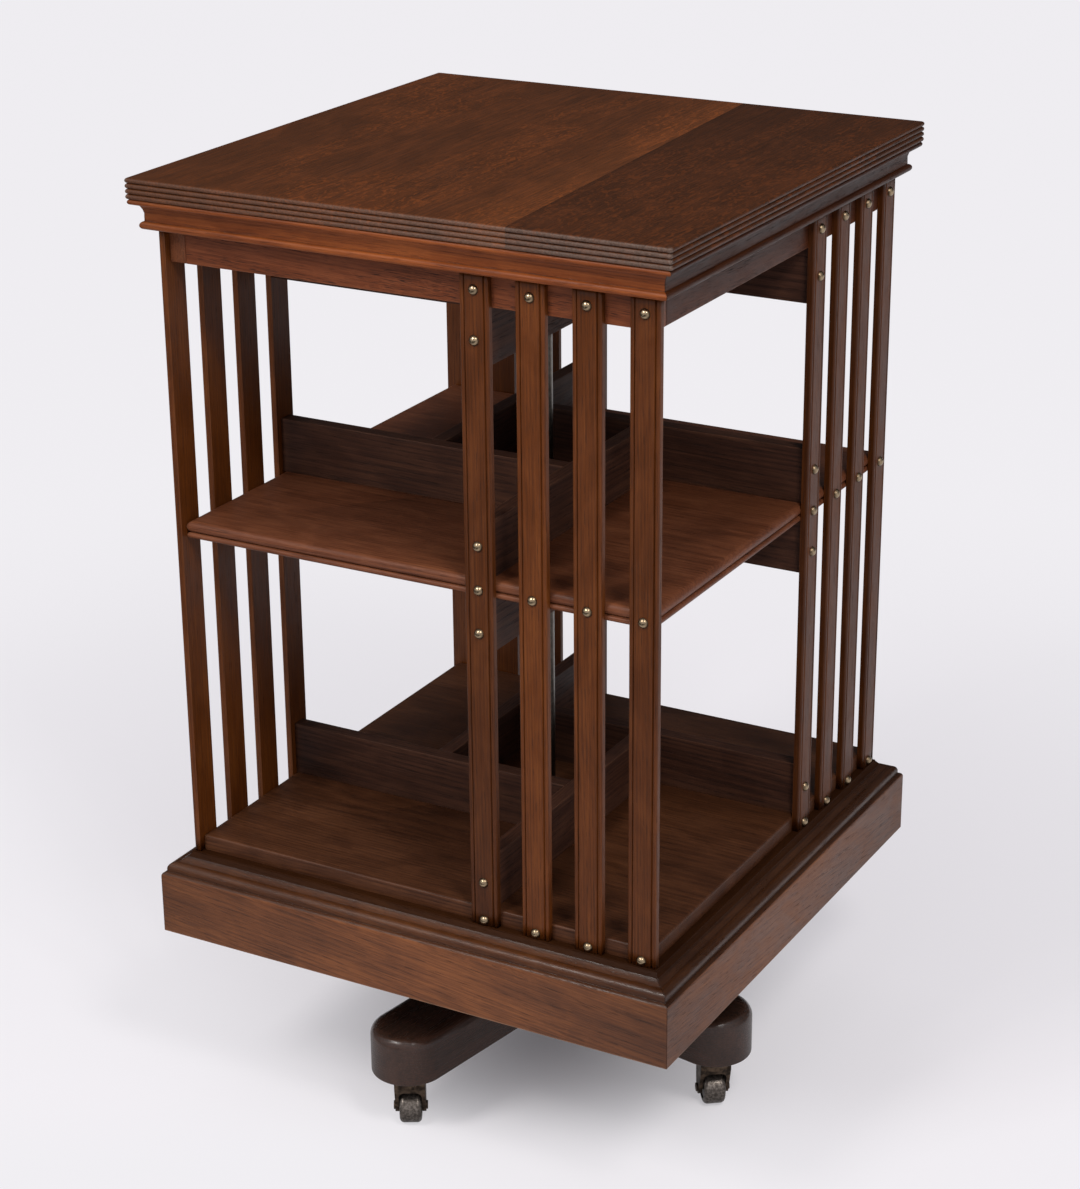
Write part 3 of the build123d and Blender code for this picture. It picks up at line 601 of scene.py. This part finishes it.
# Rings at and near the two mitres, and between them where the tone changes along the length.
MITRE_GAP = 0.06 * MM
MITRE_GRIME = 1.0 * MM
mitre_stations = (
    (-1, MITRE_GAP, 0, -0.5), (-1, MITRE_GRIME, 0, 0), (-0.6, 0, 0, 0), (0, 0, 0, 0),
    (0.5, 0, 0, 0), (1, -MITRE_GRIME, 0, 0), (1, -MITRE_GAP, 0, -0.5),
)
up_axis = (0, 0, 1)
cornice_low, cornice_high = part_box("cornice_front")
cornice_half = -cornice_low.y
carcass_half = -cornice_high.y
CORNICE_BEAD = 2.3 * MM
LOWER_BEAD = 3.4 * MM
CORNICE_QUIRK = 3.2 * MM
COVE_DEPTH = 9.7 * MM
# The cove's line upwards: how far each point lies out from its wall and down from its top.
COVE_LINE = ((0.0, 7.7 * MM), (0.9 * MM, 4.6 * MM), (2.3 * MM, 1.9 * MM))
cove_wall = cornice_half - COVE_DEPTH
cove_top = cornice_high.z - 2 * CORNICE_BEAD
cove_edge = cornice_half - CORNICE_BEAD - CORNICE_QUIRK
profile = np.concatenate((
    [(carcass_half, cornice_low.z)],
    arc((cove_wall, cornice_low.z + LOWER_BEAD), LOWER_BEAD, -90, 88, 12),
    [(cove_wall + out, cove_top - down) for out, down in COVE_LINE],
    [(cove_edge, cove_top)],
    arc((cornice_half - CORNICE_BEAD, cornice_high.z - CORNICE_BEAD), CORNICE_BEAD, -88, 90, 12),
    [(carcass_half, cornice_high.z)],
))
profile, wear_and_painted_light = soften(profile, radius=0.3 * MM, reach=0.8 * MM, worn=0.7)
oak_cornice = oak_finish(
    "oak_cornice", srgb(70, 35, 17), srgb(108, 56, 26), srgb(136, 75, 35), srgb(140, 94, 62),
    figure=0.4, gloss=0.4,
)
# Tones per length: the right one much darker and the back and left ones darker, which is painted
# shade; the front one darker at its left end.
CORNICE_TONES_AND_SHADE = {
    "front": (0.82, 0.82, 1.0, 1.12, 1.12, 1.12, 1.12), "right": 0.22, "back": 0.6, "left": 0.75,
}
for side in SIDES:
    across, outward = facing(side)
    rows, ring_wear_and_painted_light = straight_rows(profile, wear_and_painted_light, mitre_stations, across, outward, up_axis)
    cornice = build_shell(
        f"cornice_{side}_moulding", rows, ring_wear_and_painted_light, (across, up_axis, (0.03, 0.09), 0.01),
        CORNICE_TONES_AND_SHADE[side],
    )
    dress(cornice, oak_cornice, "oak", "case", f"cornice_{side}")


# Frieze: four plain rails under the top, each butted on the next. They carry the slats' heads.
BOARD_ARRIS = 0.6 * MM
BOARD_REACH = 2.5 * MM
BOARD_END = 4 * MM


def box_rows(low, high):
    """a board between two corners as a softened rectangle carried along its longest side, its
    ends drawn in by the quarter circle of the same arris"""
    size = np.subtract(high, low)
    grain = int(np.argmax(size))
    first, second = [axis for axis in range(3) if axis != grain]
    rectangle = np.array((
        (low[first], low[second]), (high[first], low[second]),
        (high[first], high[second]), (low[first], high[second]),
    ))
    profile, wear_and_painted_light = soften(rectangle, BOARD_ARRIS, BOARD_REACH, worn=0.5)
    swing = np.radians((0, 30, 60, 90))
    ease = BOARD_ARRIS * (1 - np.sin(swing))
    sink = BOARD_ARRIS * (1 - np.cos(swing))
    near = np.column_stack((np.zeros(4), low[grain] + sink, ease, np.zeros(4)))
    far = np.column_stack((np.zeros(4), high[grain] - sink, ease, np.zeros(4)))[::-1]
    middle = [(0, low[grain] + BOARD_END, 0, 0), (0, high[grain] - BOARD_END, 0, 0)]
    axes = np.eye(3)
    rows, ring_wear_and_painted_light = straight_rows(
        profile, wear_and_painted_light, np.concatenate((near, middle, far)), axes[grain], axes[first], axes[second],
    )
    return rows, ring_wear_and_painted_light, axes[grain]


oak_frieze = oak_finish(
    "oak_frieze", srgb(58, 32, 20), srgb(90, 48, 28), srgb(116, 66, 40), srgb(120, 80, 56),
    flecks=0.5, figure=0.3, mottle=0.4, grit=0.9,
)
# Tones per rail: the right one much darker and the left one a little darker, which is painted
# shade; the front one lighter towards its right end.
FRIEZE_TONES_AND_SHADE = {"front": (1.14,) * 5 + (1.34,) * 5, "right": 0.44, "left": 0.9}
for side in SIDES:
    across, _ = facing(side)
    rows, ring_wear_and_painted_light, _ = box_rows(*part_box(f"frieze_{side}"))
    frieze = build_shell(
        f"frieze_{side}_rail", rows, ring_wear_and_painted_light, (across, up_axis, (0.01, 0.05), 0.04),
        FRIEZE_TONES_AND_SHADE.get(side, 1.06),
    )
    dress(frieze, oak_frieze, "oak", "case", f"frieze_{side}")


# Slats: thin uprights on the right-hand part of each face, from the plinth up to the cornice,
# with a quirked bead along both edges, the beads darkened on the right face as painted shade.
# They are pinned to every rail that they cross.
SLAT_BEAD = 2.0 * MM
SLAT_QUIRK = 1.0 * MM
SLAT_FOOT_DARKENING = 14 * MM
SLAT_HEAD_DARKENING = 8 * MM
RIGHT_BEAD_SHADE = 0.42
slat_low, slat_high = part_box("slat_front_1")
slat_half = (slat_high.x - slat_low.x) / 2
slat_face = -slat_low.y
slat_back = -slat_high.y
bead_foot = slat_half - 2 * SLAT_BEAD
profile = np.concatenate((
    [(slat_half, slat_back)],
    arc((slat_half - SLAT_BEAD, slat_face - SLAT_BEAD), SLAT_BEAD, 0, 176, 11),
    [(bead_foot - SLAT_QUIRK, slat_face), (SLAT_QUIRK - bead_foot, slat_face)],
    arc((SLAT_BEAD - slat_half, slat_face - SLAT_BEAD), SLAT_BEAD, 4, 180, 11),
    [(-slat_half, slat_back)],
))
profile, wear_and_painted_light = soften(profile, radius=0.35 * MM, reach=0.8 * MM, worn=0.38)
beads = np.abs(profile[:, 0]) > bead_foot
oak_slats = oak_finish(
    "oak_slats", srgb(61, 33, 11), srgb(85, 45, 16), srgb(107, 60, 23), srgb(120, 84, 58),
    figure=0.3, mottle=0.85, gloss=0.4, ior=1.32,
)
# Tones per slat: on the front darker towards the feet, the first slat most; on the other faces
# drawn at random, lower on the right face, which is painted shade.
FRONT_TONES = ((0.62, 0.62, 0.98, 0.98), (1.06, 1.06, 1.12, 1.12), (0.95, 0.95, 1.0, 1.0),
               (0.8, 0.8, 0.9, 0.9))
SLAT_TONES_AND_SHADE = {"right": (0.74, 0.84), "back": (0.85, 1.05), "left": (0.85, 1.0)}
for side in SIDES:
    across, outward = facing(side)
    for number in range(1, 5):
        low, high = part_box(f"slat_{side}_{number}")
        middle = np.add(low, high) / 2
        origin = across * (middle @ across)
        # Each slat darkens towards its foot and its head.
        stations = [(0, low.z, 0, -0.6), (0, low.z + SLAT_FOOT_DARKENING, 0, 0),
                    (0, high.z - SLAT_HEAD_DARKENING, 0, 0), (0, high.z, 0, -0.7)]
        # On the right face the beads are darkened: painted shade.
        slat_wear_and_shade = wear_and_painted_light - RIGHT_BEAD_SHADE * beads if side == "right" else wear_and_painted_light
        rows, ring_wear_and_painted_light = straight_rows(
            profile, slat_wear_and_shade, stations, up_axis, across, outward, origin,
        )
        slat = build_shell(
            f"slat_{side}_{number}_beaded", rows, ring_wear_and_painted_light,
            (up_axis, across, (draw.uniform(0.02, 0.07), draw.uniform(0.02, 0.06)), 0.01),
            FRONT_TONES[number - 1] if side == "front" else draw.uniform(*SLAT_TONES_AND_SHADE[side]),
        )
        dress(slat, oak_slats, "oak", "case", f"slat_{side}_{number}")


# Studs: domed brass heads that pin the slats, browned by age, darker at the rim and brighter
# towards the crown.
def metal_finish(name, dark, light, scale, roughness, metallic=1.0, crown=None, pitted=1.0):
    """worn metal: two colours mixed by a mottled noise, rougher where it is dark. pitted is the
    strength of that roughness and of the relief."""
    material = bpy.data.materials.new(name)
    material.use_nodes = True
    tree = material.node_tree
    place = wire(tree, "ShaderNodeTexCoord").outputs["Object"]
    mottle = wire(tree, "ShaderNodeTexNoise", {
        "Vector": place, "Scale": scale, "Detail": 4.0, "Roughness": 0.6,
    })
    grade = wire(tree, "ShaderNodeMapRange", {
        "Value": mottle.outputs["Fac"], "From Min": 0.35, "From Max": 0.68,
    }, interpolation_type="SMOOTHSTEP").outputs[0]
    if crown is not None:
        grade = crown(tree, place, grade)
    colour = wire(tree, "ShaderNodeMix", {0: grade, 6: dark, 7: light}, data_type="RGBA")
    shader = tree.nodes["Principled BSDF"]
    tree.links.new(colour.outputs[2], shader.inputs["Base Color"])
    dull = wire(tree, "ShaderNodeMapRange", {
        "Value": grade, "To Min": roughness + 0.2 * pitted, "To Max": roughness,
    })
    tree.links.new(dull.outputs[0], shader.inputs["Roughness"])
    shader.inputs["Metallic"].default_value = metallic
    bump = wire(tree, "ShaderNodeBump", {
        "Strength": 0.3 * pitted, "Distance": 0.0002, "Height": mottle.outputs["Fac"],
    })
    tree.links.new(bump.outputs["Normal"], shader.inputs["Normal"])
    return material


STUD_HEIGHT = 3.4 * MM


def stud_crown(tree, place, grade):
    """the bright share grows with the height above the slats' face, which is the larger of the
    absolute x and y less the face's distance"""
    size = wire(tree, "ShaderNodeVectorMath", {0: place}, operation="ABSOLUTE")
    parts = wire(tree, "ShaderNodeSeparateXYZ", {0: size.outputs[0]})
    reach = wire(tree, "ShaderNodeMath", {
        0: parts.outputs["X"], 1: parts.outputs["Y"],
    }, operation="MAXIMUM")
    lift = wire(tree, "ShaderNodeMapRange", {
        "Value": reach.outputs[0], "From Min": slat_face + 0.1 * STUD_HEIGHT,
        "From Max": slat_face + 0.75 * STUD_HEIGHT, "To Min": 0.0, "To Max": 0.75,
    })
    return wire(tree, "ShaderNodeMath", {
        0: grade, 1: 0.35, 2: lift.outputs[0],
    }, operation="MULTIPLY_ADD", use_clamp=True).outputs[0]


def finish_node(node, material):
    """a CAD piece keeps its own mesh and gets a better finish"""
    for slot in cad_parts[node].material_slots:
        slot.material = material


brass = metal_finish(
    "aged_brass", srgb(58, 44, 32), srgb(164, 145, 118), 420.0, 0.22, crown=stud_crown,
)
finish_node("slat_studs", brass)


# Shelf: one board between the tiers, bored for the spindle, with a moulded edge of a wide bead
# over a narrow one. Its grain runs from side to side.
def board_with_bore(name, profile, wear_and_painted_light, bore, axes, tone):
    """a moulded square board with a round hole: the profile is carried round the square, and its
    two ends go on over the flat to rings on the bore"""
    rows, ring_wear_and_painted_light = square_rings(profile, wear_and_painted_light, corner=1.0 * MM, reach=2.0 * MM)
    bearing = np.arctan2(rows[0, :, 1], rows[0, :, 0])
    circle = np.column_stack((np.cos(bearing), np.sin(bearing), np.zeros(len(bearing)))) * bore
    foot = circle + (0, 0, profile[0, 1])
    head = circle + (0, 0, profile[-1, 1])
    rows = np.concatenate((rows, head[None], foot[None], rows[:1]))
    ring_wear_and_painted_light = np.concatenate((ring_wear_and_painted_light, np.zeros((2, len(bearing))), ring_wear_and_painted_light[:1]))
    return build_shell(name, rows, ring_wear_and_painted_light, axes, tone, caps=False)


shelf_low, shelf_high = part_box("shelf")
UPPER_BEAD = 5.0 * MM
UNDER_BEAD = 2.5 * MM
EDGE_STRIP = 40 * MM
SHELF_BORE = 13 * MM
shelf_half = shelf_high.x
profile = np.concatenate((
    [(shelf_half - EDGE_STRIP, shelf_low.z)],
    arc((shelf_half - UNDER_BEAD, shelf_low.z + UNDER_BEAD), UNDER_BEAD, -90, 84, 10),
    arc((shelf_half - UPPER_BEAD, shelf_high.z - UPPER_BEAD), UPPER_BEAD, -72, 90, 14),
    [(shelf_half - EDGE_STRIP, shelf_high.z)],
))
profile, wear_and_painted_light = opened(*soften(profile, radius=0.25 * MM, reach=0.6 * MM))
oak_shelf = oak_finish(
    "oak_shelf", srgb(60, 34, 22), srgb(94, 55, 37), srgb(120, 74, 50), srgb(140, 104, 82),
    figure=0.4, gloss=0.38,
)
# The shelf's flat is darker than its moulded edge: painted shade.
SHELF_FLAT_SHADE = 0.76
tone = np.full(len(profile) + 3, SHELF_FLAT_SHADE)
tone[1:len(profile) - 1] = 1.0
shelf = board_with_bore(
    "shelf_board", profile, wear_and_painted_light, SHELF_BORE, ((1, 0, 0), (0, 1, 0), (0.05, 0.10), 0.02), tone,
)
dress(shelf, oak_shelf, "oak", "case", "shelf")


# Floor of the case: a plain board that lies on the plinth's ledge, its upper arris eased.
board_low, board_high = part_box("bottom_board")
board_half = board_high.x
BOARD_ROUND = 2.0 * MM
FLOOR_BORE = 12 * MM
profile = np.concatenate((
    [(board_half - EDGE_STRIP, board_low.z), (board_half, board_low.z)],
    arc((board_half - BOARD_ROUND, board_high.z - BOARD_ROUND), BOARD_ROUND, 0, 90, 6),
    [(board_half - EDGE_STRIP, board_high.z)],
))
profile, wear_and_painted_light = opened(*soften(profile, radius=0.3 * MM, reach=0.8 * MM))
oak_floor = oak_finish(
    "oak_floor", srgb(42, 25, 17), srgb(68, 42, 28), srgb(92, 58, 38), srgb(112, 78, 56),
    figure=0.4, gloss=0.36,
)
bottom = board_with_bore(
    "bottom_floor", profile, wear_and_painted_light, FLOOR_BORE, ((1, 0, 0), (0, 1, 0), (0.08, 0.12), 0.02), 1.0,
)
dress(bottom, oak_floor, "oak", "case", "bottom_board")


# Plinth: four deep rails, mitred at the corners, with a rounded and stepped moulding on top. The
# faces are plain-sawn, with tones set per face: the right face darker, as painted shade. The
# moulding above them is painted darker, and on the faces other than the front twice as dark,
# which is painted shade; its upper slope at the slats' feet, where no cloth reaches, is nearly
# black and dull, from dark wax and painted shade.
plinth_low, plinth_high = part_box("plinth_front")
plinth_half = -plinth_low.y
FACE_ROUND = 4.0 * MM
FACE_STEP = 2.5 * MM
OVOLO = 6.0 * MM
PLINTH_QUIRK = 1.5 * MM
MOULDING_RISE = 21.5 * MM
SLOPE_MARGIN = 1.5 * MM
SLOPE_LIP = 1 * MM
SLOPE_HOLLOW = 0.9 * MM
SLOPE_WIDTH = 4 * MM
SLOPE_HEIGHT = 5 * MM
PLINTH_LEDGE = 14 * MM
MOULDING_DARKENING = 0.58
SLOPE_WAX_AND_SHADE = 1.6
face_top = plinth_high.z - MOULDING_RISE
step_top = face_top + FACE_ROUND + FACE_STEP
slope_foot = plinth_half - FACE_ROUND - OVOLO - PLINTH_QUIRK
slope_head = slat_face + SLOPE_MARGIN
ledge = carcass_half - PLINTH_LEDGE
slope = np.linspace(0, 1, 6)[:, None]
hollow = (
    np.array((slope_foot, step_top + OVOLO)) * (1 - slope)
    + np.array((slope_head, plinth_high.z - SLOPE_LIP)) * slope
    - SLOPE_HOLLOW * np.sin(math.pi * slope) * (0.6, 0.8)
)
profile = np.concatenate((
    [(ledge, plinth_low.z), (plinth_half, plinth_low.z)],
    arc((plinth_half - FACE_ROUND, face_top), FACE_ROUND, 0, 90, 8),
    arc((plinth_half - FACE_ROUND - OVOLO, step_top), OVOLO, 0, 90, 10),
    hollow,
    [(slope_head, plinth_high.z), (carcass_half, plinth_high.z),
     (carcass_half, board_low.z), (ledge, board_low.z)],
))
profile, wear_and_painted_light = soften(profile, radius=0.5 * MM, reach=1.2 * MM, worn=0.8)
moulding = profile[:, 1] > face_top + 0.6 * FACE_ROUND
# The moulding's faces, not its arrises, are painted darker.
wear_and_painted_light = np.where(moulding & (wear_and_painted_light < 0.2), wear_and_painted_light - MOULDING_DARKENING, wear_and_painted_light)
inner_part = profile[:, 0] < slope_foot - SLOPE_WIDTH
upper_part = profile[:, 1] > plinth_high.z - SLOPE_HEIGHT
upper_slope = inner_part & upper_part
# The upper slope is painted nearly black: dark wax and painted shade.
wear_and_painted_light = np.where(upper_slope, -SLOPE_WAX_AND_SHADE, wear_and_painted_light)
# Tones per rail: the right one darker, which is painted shade; the front and right ones darker
# towards their ends.
PLINTH_TONES_AND_SHADE = {
    "front": (0.78, 0.78, 1.0, 1.12, 1.02, 0.66, 0.66),
    "right": (0.7, 0.7, 0.88, 0.88, 0.8, 0.7, 0.7),
}
plinth_colours = (srgb(60, 36, 22), srgb(96, 57, 33), srgb(126, 77, 43), srgb(160, 130, 104))
oak_plinth = oak_finish(
    "oak_plinth", *plinth_colours, flecks=0.25, figure=0.22, grit=0.5, gloss=0.4, ior=1.37,
)
oak_slope_wax_and_shade = oak_finish("oak_slope_wax_and_shade", *plinth_colours, figure=0.22, gloss=0.6, ior=1.12)
for side in SIDES:
    across, outward = facing(side)
    # On the faces other than the front the moulding's darkening is doubled: painted shade.
    wear_light_and_side_shade = wear_and_painted_light if side == "front" else np.where(moulding & (wear_and_painted_light < 0), 2 * wear_and_painted_light, wear_and_painted_light)
    rows, ring_wear_and_painted_light = straight_rows(profile, wear_light_and_side_shade, mitre_stations, across, outward, up_axis)
    plinth = build_shell(
        f"plinth_{side}_rail", rows, ring_wear_and_painted_light, (across, up_axis, (-0.02, 0.06), 0.10),
        PLINTH_TONES_AND_SHADE.get(side, 0.95),
    )
    dress(plinth, oak_plinth, "oak", "case", f"plinth_{side}")
    plinth.data.materials.append(oak_slope_wax_and_shade)
    # The upper slope's faces take the finish that reflects little, to go with its painted shade.
    wax_and_shade_faces = np.tile(upper_slope & np.roll(upper_slope, -1), len(mitre_stations) - 1)
    plinth.data.polygons.foreach_set("material_index", np.append(wax_and_shade_faces, (0, 0)).astype(np.int32))


# Cross rails: at each of four levels, four rails butt on each other like a pinwheel round the
# spindle's shaft and part the bays. Little light reaches them, their colour is darkened as
# painted shade, and they were never polished.
RAIL_NEAR = 62 * MM
RAIL_FAR = 76 * MM
oak_inside_shaded = oak_finish(
    "oak_inside_shaded", srgb(34, 21, 17), srgb(59, 37, 28), srgb(82, 53, 39), srgb(100, 68, 50),
    figure=0.5, gloss=0.55,
)
for level in ("top", "above_shelf", "below_shelf", "bottom"):
    low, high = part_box(f"cross_rails_{level}")
    rails = []
    for side in SIDES:
        across, outward = facing(side)
        corners = np.array((
            across * RAIL_NEAR + outward * high.x, across * RAIL_FAR - outward * RAIL_NEAR,
        ))
        rail_low = (*corners.min(axis=0)[:2], low.z)
        rail_high = (*corners.max(axis=0)[:2], high.z)
        rows, ring_wear_and_painted_light, grain = box_rows(rail_low, rail_high)
        rails.append(build_shell(
            f"cross_rail_{level}_{side}", rows, ring_wear_and_painted_light, (grain, up_axis, (0.02, 0.05), 0.02),
            draw.uniform(0.85, 1.05),
        ))
    for rail in rails:
        dress(rail, oak_inside_shaded, "oak", "case", f"cross_rails_{level}")


# Pivot board: a square board let in between the top cross rails. It carries the upper bearing.
rows, ring_wear_and_painted_light, _ = box_rows(*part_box("pivot_board"))
pivot = build_shell(
    "pivot_panel", rows, ring_wear_and_painted_light, ((1, 0, 0), (0, 1, 0), (0.02, 0.05), 0.02), 0.9,
)
# The pivot board takes the rails' finish, darkened as painted shade.
dress(pivot, oak_inside_shaded, "oak", "case", "pivot_board")


# Iron work: the cup and the bush that the case turns on, the spindle and its socket on the cross,
# and their screws. Blackened castings and a greased steel bar.
black_iron = metal_finish(
    "black_iron", srgb(26, 25, 25), srgb(62, 58, 54), 90.0, 0.42, metallic=0.85,
)
spindle_steel = metal_finish(
    "spindle_steel", srgb(92, 86, 80), srgb(112, 106, 98), 240.0, 0.34, pitted=0.2,
)
for node in ("upper_bearing", "lower_bush", "spindle_flange"):
    finish_node(node, black_iron)
for node in ("spindle", "bearing_screws", "flange_screws", "caster_screws"):
    finish_node(node, spindle_steel)


# Standing cross: two arms halved across each other, with round ends and a well-rounded upper
# edge, stained almost black and polished bright. The dark colour is partly stain and partly
# painted shade from the case above.
BASE_TURN = -10.1
for node, turn in (("arm_lower", BASE_TURN), ("arm_upper", BASE_TURN + 90)):
    oak_arm_stain_and_shade = oak_finish(
        f"oak_{node}", srgb(37, 30, 26), srgb(54, 40, 34), srgb(70, 50, 42), srgb(90, 60, 45),
        figure=0.5, gloss=0.12, ior=1.42, turn=turn,
    )
    finish_node(node, oak_arm_stain_and_shade)


# Casters: each has a round plate with its swivel pin under the arm's end, a bronze fork that
# turns on the pin, and a worn iron wheel on a riveted axle.
bronze = metal_finish(
    "dark_bronze", srgb(54, 45, 38), srgb(106, 89, 74), 160.0, 0.38, metallic=0.9, pitted=0.7,
)
wheel_iron = metal_finish(
    "worn_wheel", srgb(78, 72, 67), srgb(126, 118, 111), 420.0, 0.32, metallic=0.8, pitted=0.35,
)
finish_node("caster_plates", bronze)
for number in range(1, 5):
    finish_node(f"caster_fork_{number}", bronze)
    finish_node(f"caster_axle_{number}", bronze)
    finish_node(f"caster_wheel_{number}", wheel_iron)
